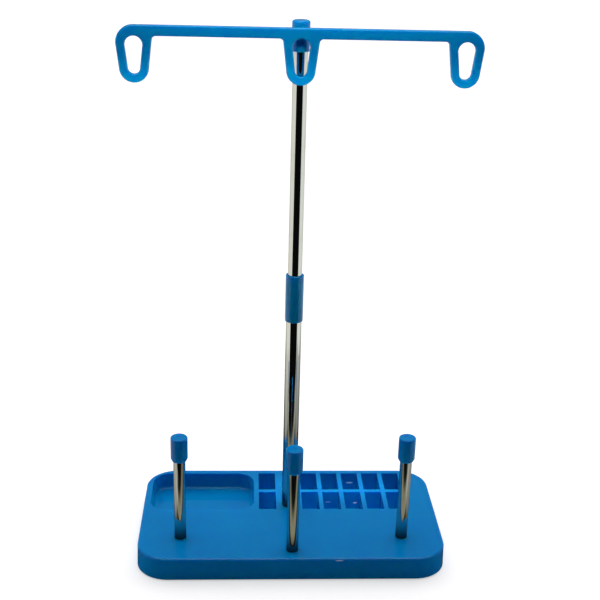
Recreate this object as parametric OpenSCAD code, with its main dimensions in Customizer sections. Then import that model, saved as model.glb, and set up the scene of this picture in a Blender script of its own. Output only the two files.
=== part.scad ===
// Thread rack for three spools, with a tray and bobbin pockets moulded into its base.
// Millimetres. X runs to the right, Y to the back and Z up. The origin is on the
// table, under the middle of the base.

/* [Base] */
// Width of the base, left to right
base_w = 230; // [220:1:260]
// Depth of the base, front to back
base_d = 130; // [126:1:150]
// Height of the base's top above the table
base_h = 18; // [17:0.5:24]
// Radius of the four outer corners
base_corner_r = 24; // [18:1:27]
// Rounding of the edge round the top
base_edge_r = 1.6; // [0.8:0.2:2.2]
// How far the outer walls lean in from bottom to top
base_draft = 0.4; // [0:0.1:1]
// Thickness of the outer walls
base_wall = 2.2; // [1.6:0.2:3]
// Thickness of the top
base_skin = 2.4; // [1.8:0.2:3.2]
// Thickness of the ribs under the top
rib_t = 1.4; // [1:0.1:2.4]
// Gap between the table and the lower end of the ribs
rib_clear = 3; // [2:0.5:5]

/* [Tray] */
// Bare edge left between the tray and the base's left side
tray_side_margin = 5.2; // [4.6:0.1:9]
// Bare edge left between the hollows and the base's back
back_margin = 5.9; // [5:0.1:9]
// Tray size, front to back
tray_d = 57.6; // [48:0.2:62]
// Radius of the tray's corners in plan
tray_corner_r = 14; // [11:1:18]
// Depth of the tray
tray_depth = 13; // [8:0.5:13.5]
// How far the tray's walls lean in from top to bottom
tray_draft = 1.2; // [0:0.1:2]
// Rounding between the tray's walls and its floor
tray_floor_r = 3; // [1.5:0.5:4]
// Rim of top left between the tray and the first pocket
tray_pocket_rim = 3.8; // [3.2:0.1:6]

/* [Bobbin pockets] */
// Width of a pocket, left to right
pocket_w = 13.6; // [12:0.1:14.2]
// Length of a pocket, front to back
pocket_l = 26.4; // [22:0.2:27.4]
// Depth of a pocket
pocket_depth = 15.6; // [10:0.2:15.8]
// Wall between neighbouring pockets in a row
pocket_wall = 3.5; // [2.6:0.1:4]
// Wall between the front and back rows
pocket_row_wall = 3.5; // [2.6:0.1:5]
// Columns of pockets to the right of the mast
pocket_columns = 5; // [2:1:5]
// Wall round the outside of a hollow, under the top
hollow_wall = 2; // [1.4:0.1:2.4]

/* [Spool pins] */
// Diameter of the pins
pin_d = 8.8; // [6:0.2:9.4]
// Wall of the pin tubes
pin_wall = 0.6; // [0.4:0.1:1.2]
// Height of the pins above the base, cap included
pin_h = 84; // [60:1:120]
// Distance of the side pins from the base's sides
side_pin_margin = 31.8; // [25:0.2:45]
// Distance of the side pins behind the base's front edge
side_pin_inset = 30.2; // [26:0.2:39]
// Distance of the centre pin behind the base's front edge
centre_pin_inset = 12.8; // [11.6:0.2:20]
// Diameter of the pins' caps
cap_d = 12.4; // [11.6:0.2:16]
// Height of a cap
cap_h = 19; // [14:0.5:26]
// Thickness of a cap's closed top
cap_roof = 2.5; // [1.5:0.1:4]
// Height of the taper at a cap's lower end
cap_taper_h = 2; // [1:0.2:3]
// Wall left at a cap's mouth, below the taper
cap_mouth_wall = 0.75; // [0.5:0.05:1.2]
// Rounding of a cap's top edge
cap_edge_r = 0.9; // [0.4:0.1:1.2]
// Wall round a pin's socket under the top
pin_boss_wall = 3; // [2:0.2:4]

/* [Mast] */
// Diameter of the lower tube
lower_tube_d = 11.6; // [11.4:0.1:12.4]
// Wall of the lower tube
lower_tube_wall = 0.4; // [0.3:0.05:0.45]
// Diameter of the upper tube
upper_tube_d = 10.3; // [9:0.1:10.4]
// Wall of the upper tube
upper_tube_wall = 0.5; // [0.4:0.05:0.8]
// Height of the lower tube's top end above the table
lower_tube_top = 205; // [180:1:240]
// Distance of the mast in front of the base's back edge
mast_inset = 53.8; // [49:0.1:54.4]
// Wall round the mast's socket under the top
mast_boss_wall = 3.6; // [3:0.2:4.4]
// Height of the sleeve on the mast's joint
sleeve_h = 36; // [28:1:48]
// Height of the part of the sleeve that reaches past the lower tube
sleeve_lip_h = 6; // [4:0.5:10]
// Wall of the sleeve over the lower tube
sleeve_wall = 0.9; // [0.8:0.1:1.4]
// Length of the slide plug's head
plug_head_h = 14; // [8:1:20]
// Length of the slide plug's stem
plug_stem_h = 12; // [8:1:18]
// Wall of the slide plug's stem
plug_wall = 1.6; // [1:0.1:2.4]

/* [Guide bar] */
// Height of the bar's top edge above the table
guide_top = 388.5; // [340:0.5:440]
// Distance between the middle eyelet and each outer one
eyelet_pitch = 111.5; // [90:0.5:125]
// Height of the bar's section
bar_h = 7.3; // [6:0.1:9]
// Thickness of the bar, front to back
bar_t = 5; // [4:0.1:5.4]
// Rounding of the bar's and the eyelets' edges
bar_edge_r = 1.4; // [0.6:0.1:1.8]
// Width of the band round an eyelet
band_w = 5.8; // [4.5:0.1:7]
// Radius at the top of an eyelet's opening
eye_top_r = 5.9; // [5:0.1:8]
// Radius at the bottom of an eyelet's opening
eye_bottom_r = 4.1; // [3.4:0.1:5]
// Height of an eyelet's opening
eye_h = 25; // [20:0.5:32]
// Rounding between the bar and an eyelet
bar_fillet_r = 2.8; // [1.5:0.1:4]
// Diameter of the socket that sits on the mast
socket_d = 12.5; // [11.8:0.1:14.4]
// Height of the socket
socket_h = 20.7; // [16:0.1:28]
// How far the socket stands up over the bar
socket_rise = 4; // [2:0.5:8]
// Thickness of the socket's closed top
socket_roof = 3.5; // [2:0.1:5]
// Rounding of the socket's top edge
socket_edge_r = 2; // [0.8:0.1:2.4]
// Width of the web between the socket and the bar
web_w = 9; // [6:0.5:11]
// Space kept between the bar and the sleeve when the mast is pushed down
bar_sleeve_gap = 1; // [0.6:0.1:3]

/* [Feet] */
// Diameter of the foot pads
foot_d = 12; // [8:0.5:13]
// Thickness of the foot pads
foot_t = 1.8; // [1.4:0.1:2.2]
// How far the pads stand out under the base
foot_lift = 0.8; // [0.4:0.1:1.2]
// Distance of a pad's centre from the base's sides
foot_inset = 15; // [13:0.5:17]

/* [Clearances] */
// Radial clearance of a part that slides or turns on a tube
running_gap = 0.05; // [0.02:0.01:0.1]
// Radial clearance of a tube pushed into a socket
seat_gap = 0.03; // [0.02:0.01:0.05]
// Space left at the end of a blind socket
end_gap = 0.2; // [0.1:0.1:0.5]

/* [Hidden] */

plastic_blue = [0.06, 0.44, 0.78];
chrome_grey = [0.82, 0.83, 0.85];
pad_grey = [0.20, 0.20, 0.21];
plug_white = [0.90, 0.90, 0.88];
round_fn = 96;
edge_steps = 4;
past = 1;

// Base heights
rim_z = foot_lift;
skin_z = base_h - base_skin;
boss_top_z = skin_z + base_skin / 2;
tray_floor_z = base_h - tray_depth;
pocket_floor_z = base_h - pocket_depth;
socket_floor_z = rim_z + base_wall;

// Hollows in plan; the empty column between the pockets is the mast's place
pocket_pitch = pocket_w + pocket_wall;
pocket_left_x = -pocket_pitch - pocket_w / 2;
hollow_back_y = base_d / 2 - back_margin;
tray_right_x = pocket_left_x - tray_pocket_rim;
tray_left_x = -base_w / 2 + tray_side_margin;
tray_w = tray_right_x - tray_left_x;
tray_x = (tray_left_x + tray_right_x) / 2;
tray_y = hollow_back_y - tray_d / 2;
tray_front_y = hollow_back_y - tray_d;
pocket_rows_l = 2 * pocket_l + pocket_row_wall;
pocket_y = hollow_back_y - pocket_rows_l / 2;
pocket_front_y = hollow_back_y - pocket_rows_l;

// Pins in plan
side_pin_x = base_w / 2 - side_pin_margin;
side_pin_y = -base_d / 2 + side_pin_inset;
left_pin = [-side_pin_x, side_pin_y];
centre_pin = [0, -base_d / 2 + centre_pin_inset];
right_pin = [side_pin_x, side_pin_y];
cap_top_z = base_h + pin_h;
cap_bore_top_z = cap_top_z - cap_roof;
pin_top_z = cap_bore_top_z - end_gap;
cap_mouth_r = pin_d / 2 + running_gap + cap_mouth_wall;

// Mast
mast_y = base_d / 2 - mast_inset;
sleeve_top_z = lower_tube_top + sleeve_lip_h;
sleeve_bottom_z = sleeve_top_z - sleeve_h;
sleeve_r = lower_tube_d / 2 + sleeve_wall;
upper_tube_z0 = lower_tube_top - end_gap;
socket_top_z = guide_top + socket_rise;
socket_z0 = socket_top_z - socket_h;
socket_bore_top_z = socket_top_z - socket_roof;
upper_tube_top_z = socket_bore_top_z - end_gap;

// Guide bar
bar_back_y = mast_y - sleeve_r - bar_sleeve_gap;
bar_y = bar_back_y - bar_t / 2;
eye_top_z = guide_top - bar_h - eye_top_r;

// Eyelet, drawn flat: X across, Y up from the centre of the opening's round top, Z through it.
// Round parts stand proud by blend of the straight ones that they run into.
blend = 0.05;
eye_run = eye_h - eye_top_r - eye_bottom_r;
leg_lean = asin((eye_top_r - eye_bottom_r) / eye_run);
leg_out = [cos(leg_lean), -sin(leg_lean)];
leg_r = eye_top_r + band_w;
leg_bottom = -eye_run * cos(leg_lean);
bar_top = eye_top_r + bar_h;
leg_top = (bar_top - bar_edge_r) * cos(leg_lean);
leg_lap = bar_top * sin(leg_lean);
fillet_d = bar_fillet_r - blend;
fillet_y = eye_top_r - fillet_d;
fillet_c = [(leg_r + fillet_d + fillet_y * sin(leg_lean)) / cos(leg_lean), fillet_y];
corner_r = (leg_r + bar_top * sin(leg_lean)) / (1 + sin(leg_lean));
corner_y = bar_top - corner_r;

// Points along a rounded rim, as [inset, height], from one face of a plate to the other
function rim_points(t, e) = concat(
    [for (i = [0 : edge_steps]) let (a = 90 * i / edge_steps)
        [e * (1 - sin(a)), -t / 2 + e * (1 - cos(a))]],
    [for (i = [edge_steps : -1 : 0]) let (a = 90 * i / edge_steps)
        [e * (1 - sin(a)), t / 2 - e * (1 - cos(a))]]);

// Points up a wall whose top edge is rounded, as [inset, height]
function wall_points(z0, z1, lean, e) = concat(
    [[0, z0]],
    [for (i = [0 : edge_steps]) let (a = 90 * i / edge_steps)
        [lean + e * (1 - cos(a)), z1 - e + e * sin(a)]]);

// Points up a wall that rises out of a rounded floor, as [inset, height]
function dish_points(z0, z1, lean, e) = concat(
    [for (i = [0 : edge_steps]) let (a = 90 * i / edge_steps)
        [lean + e * (1 - sin(a)), z0 + e * (1 - cos(a))]],
    [[0, z1]]);

// Block with round corners whose sides follow points of [inset, height]
module profiled_block(w, d, r, side) {
    cx = w / 2 - r;
    cy = d / 2 - r;
    z0 = side[0][1];
    z1 = side[len(side) - 1][1];
    section = concat([[0, z0]], [for (p = side) [r - p[0], p[1]]], [[0, z1]]);
    for (k = [0 : 3])
        rotate([0, 0, 90 * k])
            translate([k % 2 == 0 ? cx : cy, k % 2 == 0 ? cy : cx, 0])
                rotate_extrude(angle = 90, $fn = round_fn)
                    polygon(section);
    for (k = [0 : 3])
        rotate([0, 0, 90 * k])
            translate([k % 2 == 0 ? cx : cy, k % 2 == 0 ? cy : cx, 0])
                rotate([90, 0, 0])
                    linear_extrude(2 * (k % 2 == 0 ? cy : cx))
                        polygon(section);
    translate([-cx, -cy, z0])
        cube([2 * cx, 2 * cy, z1 - z0]);
}

// Round tube standing on z0
module tube(d, wall, z0, z1) {
    translate([0, 0, z0])
        difference() {
            cylinder(d = d, h = z1 - z0, $fn = round_fn);
            translate([0, 0, -past])
                cylinder(d = d - 2 * wall, h = z1 - z0 + 2 * past, $fn = round_fn);
        }
}

// Hollows of the two pockets in a column
module pocket_pair(x) {
    for (s = [-1, 1])
        translate([x - pocket_w / 2, pocket_y + s * (pocket_l + pocket_row_wall) / 2 - pocket_l / 2,
                   pocket_floor_z])
            cube([pocket_w, pocket_l, pocket_depth + past]);
}

// Solid block that the pockets between two columns are sunk into
module pocket_block(first, last) {
    x0 = first * pocket_pitch - pocket_w / 2 - hollow_wall;
    x1 = last * pocket_pitch + pocket_w / 2 + hollow_wall;
    translate([x0, pocket_front_y - hollow_wall, rim_z])
        cube([x1 - x0, pocket_rows_l + 2 * hollow_wall, boss_top_z - rim_z]);
}

// Hollow of the tray, its walls leaning in to a rounded floor
module tray_hollow() {
    translate([tray_x, tray_y, 0])
        profiled_block(tray_w, tray_d, tray_corner_r,
                       dish_points(tray_floor_z, base_h + past, tray_draft, tray_floor_r));
}

// Pan under the tray's hollow
module tray_pan() {
    translate([tray_x, tray_y, 0])
        profiled_block(tray_w + 2 * hollow_wall, tray_d + 2 * hollow_wall, tray_corner_r + hollow_wall,
                       dish_points(tray_floor_z - hollow_wall, boss_top_z, tray_draft, tray_floor_r));
}

// Outer walls and top, open underneath
module base_shell() {
    difference() {
        profiled_block(base_w, base_d, base_corner_r,
                       wall_points(rim_z, base_h, base_draft, base_edge_r));
        profiled_block(base_w - 2 * base_wall, base_d - 2 * base_wall, base_corner_r - base_wall,
                       [[0, rim_z - past], [base_draft, skin_z]]);
    }
}

// Ribs under the front half, on the lines of the pins and between them
module base_ribs() {
    front_y = -base_d / 2 + base_wall / 2;
    side_x = base_w / 2 - base_wall / 2;
    rib_h = boss_top_z - rib_clear;
    for (i = [-3 : 3]) {
        end_y = i == 0 ? mast_y : i < 0 ? tray_front_y + tray_corner_r : pocket_front_y;
        translate([i * side_pin_x / 3 - rib_t / 2, front_y, rib_clear])
            cube([rib_t, end_y - front_y, rib_h]);
    }
    translate([-side_x, side_pin_y - rib_t / 2, rib_clear])
        cube([2 * side_x, rib_t, rib_h]);
}

// Post under the top that a tube or a foot pad seats on
module post(at, r, z1) {
    translate([at[0], at[1], rim_z])
        cylinder(r = r, h = z1 - rim_z, $fn = round_fn);
}

// Blind hole down from the top for a tube
module tube_socket(at, d) {
    translate([at[0], at[1], socket_floor_z])
        cylinder(d = d + 2 * seat_gap, h = base_h - socket_floor_z + past, $fn = round_fn);
}

// Centre of a foot pad
function foot_at(sx, sy) = [sx * (base_w / 2 - foot_inset), sy * (base_d / 2 - foot_inset)];

// Moulded base: tray, twelve bobbin pockets, sockets, posts and ribs in one shell
module base() {
    color(plastic_blue)
        difference() {
            union() {
                base_shell();
                base_ribs();
                tray_pan();
                pocket_block(-1, -1);
                pocket_block(1, pocket_columns);
                for (at = [left_pin, centre_pin, right_pin])
                    post(at, pin_d / 2 + pin_boss_wall, boss_top_z);
                post([0, mast_y], lower_tube_d / 2 + mast_boss_wall, boss_top_z);
                for (sx = [-1, 1], sy = [-1, 1])
                    post(foot_at(sx, sy), (foot_d + hollow_wall) / 2,
                         sx < 0 && sy > 0 ? tray_floor_z - hollow_wall / 2 : boss_top_z);
            }
            tray_hollow();
            for (k = concat([-1], [for (k = [1 : pocket_columns]) k]))
                pocket_pair(k * pocket_pitch);
            for (at = [left_pin, centre_pin, right_pin])
                tube_socket(at, pin_d);
            tube_socket([0, mast_y], lower_tube_d);
            for (sx = [-1, 1], sy = [-1, 1])
                translate([foot_at(sx, sy)[0], foot_at(sx, sy)[1], 0])
                    cylinder(d = foot_d + 2 * end_gap, h = foot_t, $fn = round_fn);
        }
}

// Soft pad stuck into a post's lower end
module foot_pad(sx, sy) {
    color(pad_grey)
        translate([foot_at(sx, sy)[0], foot_at(sx, sy)[1], 0])
            cylinder(d = foot_d, h = foot_t, $fn = round_fn);
}

// Spool pin: a straight tube standing in its socket
module spool_pin(at) {
    color(chrome_grey)
        translate([at[0], at[1], 0])
            tube(pin_d, pin_wall, socket_floor_z, pin_top_z);
}

// Cap pushed over the top of a pin, tapered below so that a spool lifts off over it
module pin_cap(at) {
    cap_r = cap_d / 2;
    z0 = cap_top_z - cap_h;
    color(plastic_blue)
        translate([at[0], at[1], 0])
            difference() {
                rotate_extrude($fn = round_fn)
                    polygon(concat(
                        [[0, z0], [cap_mouth_r, z0], [cap_r, z0 + cap_taper_h]],
                        [for (i = [0 : edge_steps]) let (a = 90 * i / edge_steps)
                            [cap_r - cap_edge_r * (1 - cos(a)), cap_top_z - cap_edge_r * (1 - sin(a))]],
                        [[0, cap_top_z]]));
                translate([0, 0, z0 - past])
                    cylinder(d = pin_d + 2 * running_gap, h = cap_bore_top_z - z0 + past, $fn = round_fn);
            }
}

// Lower tube of the mast, standing in the base
module mast_lower_tube() {
    color(chrome_grey)
        translate([0, mast_y, 0])
            tube(lower_tube_d, lower_tube_wall, socket_floor_z, lower_tube_top);
}

// Sleeve over the lower tube's end; its lip guides the upper tube
module mast_sleeve() {
    edge = sleeve_wall / 2;
    lip_r = upper_tube_d / 2 + running_gap;
    seat_r = lower_tube_d / 2 + seat_gap;
    color(plastic_blue)
        translate([0, mast_y, 0])
            rotate_extrude($fn = round_fn)
                polygon([
                    [seat_r, sleeve_bottom_z],
                    [sleeve_r - edge, sleeve_bottom_z],
                    [sleeve_r, sleeve_bottom_z + edge],
                    [sleeve_r, sleeve_top_z - edge],
                    [sleeve_r - edge, sleeve_top_z],
                    [lip_r + edge, sleeve_top_z],
                    [lip_r, sleeve_top_z - edge],
                    [lip_r, lower_tube_top],
                    [seat_r, lower_tube_top]]);
}

// Plug in the upper tube's lower end: its head slides in the lower tube and stops at the lip
module mast_slide_plug() {
    head_r = lower_tube_d / 2 - lower_tube_wall - running_gap;
    stem_r = upper_tube_d / 2 - upper_tube_wall - seat_gap;
    shoulder_z = upper_tube_z0;
    head_z = shoulder_z - plug_head_h;
    color(plug_white)
        translate([0, mast_y, 0])
            rotate_extrude($fn = round_fn)
                polygon([
                    [stem_r - plug_wall, head_z],
                    [head_r - plug_wall / 2, head_z],
                    [head_r, head_z + plug_wall / 2],
                    [head_r, shoulder_z],
                    [stem_r, shoulder_z],
                    [stem_r, shoulder_z + plug_stem_h - plug_wall / 2],
                    [stem_r - plug_wall / 2, shoulder_z + plug_stem_h],
                    [stem_r - plug_wall, shoulder_z + plug_stem_h]]);
}

// Upper tube of the mast, sliding in the lower one
module mast_upper_tube() {
    color(chrome_grey)
        translate([0, mast_y, 0])
            tube(upper_tube_d, upper_tube_wall, upper_tube_z0, upper_tube_top_z);
}

// Section of a plate as [distance, thickness], from one distance out to a rounded rim at another
function rim_section(from, to) = concat(
    [[from, -bar_t / 2]],
    [for (p = rim_points(bar_t, bar_edge_r)) [to - p[0], p[1]]],
    [[from, bar_t / 2]]);

// Section of a cutter that leaves rounded edges on both faces, from one distance out to another
function flare_section(from, to) = concat(
    [[from, -bar_t / 2 - past], [to + bar_edge_r, -bar_t / 2 - past]],
    [for (p = rim_points(bar_t, bar_edge_r)) [to + p[0], p[1]]],
    [[to + bar_edge_r, bar_t / 2 + past], [from, bar_t / 2 + past]]);

// Section swept along the right leg between two distances from the opening's round top
module leg_sweep(section, low, high) {
    rotate([0, 0, -leg_lean])
        translate([0, low, 0])
            rotate([-90, 0, 0])
                linear_extrude(high - low)
                    polygon(section);
}

// Disc or ring section turned round a centre
module disc_at(x, y, section) {
    translate([x, y, 0])
        rotate_extrude($fn = round_fn)
            polygon(section);
}

// Web that fills the corner between a leg and the bar's underside, with a round hollow side
module corner_fillet() {
    reach = bar_edge_r + band_w / 4;
    leg_in = fillet_c - (fillet_d + reach) * leg_out;
    bar_in = eye_top_r + reach;
    difference() {
        translate([0, 0, -bar_t / 2])
            linear_extrude(bar_t)
                polygon([fillet_c, [fillet_c[0], bar_in], [leg_in[0], bar_in], leg_in]);
        disc_at(fillet_c[0], fillet_c[1], flare_section(0, bar_fillet_r));
    }
}

// Right leg that rises into the bar, with its fillet
module leg_to_bar() {
    leg_sweep(rim_section(-leg_lap, leg_r), leg_bottom, leg_top);
    corner_fillet();
}

// Right leg that the end of the bar turns down into
module leg_to_end() {
    leg_sweep(rim_section(-leg_lap, leg_r), leg_bottom, corner_y * cos(leg_lean));
    translate([0, corner_y, 0])
        rotate([0, 0, -90])
            rotate_extrude(angle = 210, $fn = round_fn)
                polygon(rim_section(0, corner_r + blend));
}

// Opening of an eyelet: round above and below, with leaning sides
module eyelet_opening() {
    disc_at(0, 0, flare_section(0, eye_top_r));
    disc_at(0, -eye_run, flare_section(0, eye_bottom_r));
    for (m = [0, 1])
        mirror([m, 0, 0])
            leg_sweep(flare_section(-leg_lap, eye_top_r - blend), leg_bottom, 0);
}

// Eyelet under the bar; one at the bar's end has its right leg turned down from it
module eyelet_band(ends_bar) {
    mirror([1, 0, 0])
        leg_to_bar();
    if (ends_bar)
        leg_to_end();
    else
        leg_to_bar();
    disc_at(0, -eye_run, rim_section(0, eye_bottom_r + band_w + blend));
}

// Bar with its three eyelets, drawn flat
module flat_bar() {
    difference() {
        union() {
            translate([-eyelet_pitch, 0, 0])
                rotate([0, 90, 0])
                    linear_extrude(2 * eyelet_pitch)
                        polygon(concat(
                            [for (p = rim_points(bar_t, bar_edge_r)) [p[1], bar_top - p[0]]],
                            [for (p = rim_points(bar_t, bar_edge_r)) [-p[1], eye_top_r + p[0]]]));
            eyelet_band(false);
            for (m = [0, 1])
                mirror([m, 0, 0])
                    translate([eyelet_pitch, 0, 0])
                        eyelet_band(true);
        }
        for (i = [-1 : 1])
            translate([i * eyelet_pitch, 0, 0])
                eyelet_opening();
    }
}

// Bar and eyelets in one moulding, with a socket that turns on the mast's top
module guide_bar() {
    web_h = bar_h - 2 * bar_edge_r;
    color(plastic_blue)
        difference() {
            union() {
                translate([0, bar_y, eye_top_z])
                    rotate([90, 0, 0])
                        flat_bar();
                translate([-web_w / 2, bar_y, guide_top - bar_edge_r - web_h])
                    cube([web_w, mast_y - bar_y, web_h]);
                translate([0, mast_y, 0])
                    rotate_extrude($fn = round_fn)
                        polygon(concat(
                            [[0, socket_z0]],
                            [[socket_d / 2, socket_z0]],
                            [for (i = [0 : edge_steps]) let (a = 90 * i / edge_steps)
                                [socket_d / 2 - socket_edge_r * (1 - cos(a)),
                                 socket_top_z - socket_edge_r * (1 - sin(a))]],
                            [[0, socket_top_z]]));
            }
            translate([0, mast_y, socket_z0 - past])
                cylinder(d = upper_tube_d + 2 * running_gap, h = socket_bore_top_z - socket_z0 + past,
                         $fn = round_fn);
        }
}

base();
spool_pin(left_pin);  // spool_pin_left
spool_pin(centre_pin);  // spool_pin_centre
spool_pin(right_pin);  // spool_pin_right
pin_cap(left_pin);  // pin_cap_left
pin_cap(centre_pin);  // pin_cap_centre
pin_cap(right_pin);  // pin_cap_right
mast_lower_tube();
mast_sleeve();
mast_slide_plug();
mast_upper_tube();
guide_bar();
foot_pad(-1, -1);  // foot_front_left
foot_pad(1, -1);  // foot_front_right
foot_pad(-1, 1);  // foot_back_left
foot_pad(1, 1);  // foot_back_right
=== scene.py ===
"""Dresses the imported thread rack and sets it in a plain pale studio.

The turned pieces (tubes, caps, sleeve) are surfaces worked out here over the frame's nodes. The
mouldings, the slide plug and the pads keep the frame's meshes. Everything is in metres.
"""

import sys

import logging
from dataclasses import dataclass
from enum import Enum

import bpy
import numpy as np
from mathutils import Matrix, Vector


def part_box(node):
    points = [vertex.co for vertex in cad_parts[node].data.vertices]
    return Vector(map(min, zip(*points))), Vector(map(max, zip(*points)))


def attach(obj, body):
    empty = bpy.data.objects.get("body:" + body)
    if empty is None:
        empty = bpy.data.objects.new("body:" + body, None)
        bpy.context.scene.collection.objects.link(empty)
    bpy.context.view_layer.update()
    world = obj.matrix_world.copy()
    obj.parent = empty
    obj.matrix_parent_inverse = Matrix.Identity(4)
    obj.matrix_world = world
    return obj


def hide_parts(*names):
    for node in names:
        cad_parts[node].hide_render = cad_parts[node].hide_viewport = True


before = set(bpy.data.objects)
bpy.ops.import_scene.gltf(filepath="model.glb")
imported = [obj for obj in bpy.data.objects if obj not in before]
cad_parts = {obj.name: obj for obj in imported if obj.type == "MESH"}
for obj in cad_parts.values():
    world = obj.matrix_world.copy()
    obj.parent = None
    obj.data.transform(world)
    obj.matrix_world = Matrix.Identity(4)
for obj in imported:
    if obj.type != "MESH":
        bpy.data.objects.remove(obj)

log = logging.getLogger("thread_rack")

MM = 0.001

Colour = tuple[float, float, float]
Place = tuple[float, float, float]
Span = tuple[float, float]
Socket = bpy.types.NodeSocket

WHITE: Colour = (1.0, 1.0, 1.0)
NEAR_BLACK: Colour = (0.004, 0.004, 0.004)


class Effect(Enum):
    """Surface effects that several finishes share."""

    RIPPLE = "mould_ripple"
    SCUFF = "hair_scuffs"
    DUST = "settled_dust"
    DRAWN = "drawn_lines"
    RUB = "rubbed_edges"


class Side(Enum):
    """Places of the three spool pins."""

    LEFT = "left"
    CENTRE = "centre"
    RIGHT = "right"


class Graph:
    """Places and joins the nodes of one node tree."""

    def __init__(self, tree: bpy.types.NodeTree) -> None:
        """Keeps the tree.

        Args:
            tree: The node tree that is filled.
        """
        self.tree = tree

    def add(self, kind: str, inputs: dict | None = None, **settings) -> bpy.types.Node:
        """Adds a node.

        Args:
            kind: Blender's name for the node's type.
            inputs: Values or sockets for its inputs, by name or by number.
            **settings: Properties of the node itself.

        Returns:
            The new node.
        """
        node = self.tree.nodes.new(kind)
        for key, value in settings.items():
            setattr(node, key, value)
        for key, value in (inputs or {}).items():
            self.feed(node.inputs[key], value)
        return node

    def feed(self, target: Socket, value: object) -> None:
        """Gives an input a socket to read or a plain value.

        Args:
            target: The input.
            value: A socket, a number, a vector or a colour.
        """
        if isinstance(value, bpy.types.NodeSocket):
            self.tree.links.new(value, target)
        elif target.type == "RGBA":
            target.default_value = (*value, 1.0)
        else:
            target.default_value = value

    def math(self, operation: str, a: object, b: object = 0.0, c: object = 0.0) -> Socket:
        """Returns the result of a Math node on one, two or three values."""
        return self.add("ShaderNodeMath", {0: a, 1: b, 2: c}, operation=operation).outputs[0]

    def parts(self, vector: Socket) -> bpy.types.NodeOutputs:
        """Returns the sockets X, Y and Z of a vector."""
        return self.add("ShaderNodeSeparateXYZ", {0: vector}).outputs

    def ramp(self, value: object, low: float, high: float, to_low: float = 0.0,
             to_high: float = 1.0) -> Socket:
        """Maps a value smoothly from one range to another.

        Args:
            value: The value that is mapped.
            low: Value that gives to_low.
            high: Value that gives to_high.
            to_low: Result at and below low.
            to_high: Result at and above high.

        Returns:
            The mapped value's socket.
        """
        node = self.add("ShaderNodeMapRange", interpolation_type="SMOOTHSTEP")
        for key, item in zip(("Value", "From Min", "From Max", "To Min", "To Max"),
                             (value, low, high, to_low, to_high)):
            self.feed(node.inputs[key], item)
        return node.outputs["Result"]

    def noise(self, vector: Socket, scale: object, detail: float = 2.0, roughness: float = 0.5) -> Socket:
        """Returns the grey value of a Noise node.

        Args:
            vector: Where the noise is read.
            scale: Waves in a metre.
            detail: Octaves added to the first.
            roughness: Weight of each octave against the one before.

        Returns:
            The noise's factor socket.
        """
        inputs = {"Vector": vector, "Scale": scale, "Detail": detail, "Roughness": roughness}
        return self.add("ShaderNodeTexNoise", inputs).outputs[0]

    def mix(self, factor: object, a: object, b: object) -> Socket:
        """Mixes two colours.

        Args:
            factor: How far the result lies from the first colour to the second.
            a: First colour.
            b: Second colour.

        Returns:
            The mixed colour's socket.
        """
        node = self.add("ShaderNodeMix", data_type="RGBA")
        for number, item in zip((0, 6, 7), (factor, a, b)):
            self.feed(node.inputs[number], item)
        return node.outputs[2]

    def stretch(self, vector: Socket, scale: Place, turn: Place = (0.0, 0.0, 0.0)) -> Socket:
        """Turns a vector and then scales it.

        Args:
            vector: The vector.
            scale: Its scale along each axis.
            turn: Its turn about each axis, in radians.

        Returns:
            The new vector's socket.
        """
        turned = self.add("ShaderNodeMapping", {"Vector": vector, "Rotation": turn})
        scaled = self.add("ShaderNodeMapping", {"Vector": turned.outputs[0], "Scale": scale})
        return scaled.outputs[0]

    def show(self, kind: str, shader: bpy.types.Node) -> None:
        """Joins a shader to a new output node of the given kind."""
        self.feed(self.add(kind).inputs["Surface"], shader.outputs[0])

    def effect(self, effect: Effect, place: Socket, **values: float) -> bpy.types.NodeOutputs:
        """Places a shared effect.

        Args:
            effect: Which effect.
            place: Object coordinates.
            **values: Numbers for the group's other inputs, by name.

        Returns:
            The group's outputs.
        """
        node = self.tree.nodes.new("ShaderNodeGroup")
        node.node_tree = EffectShelf.take(effect)
        self.feed(node.inputs["Vector"], place)
        for key, value in values.items():
            self.feed(node.inputs[key], value)
        return node.outputs


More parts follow.
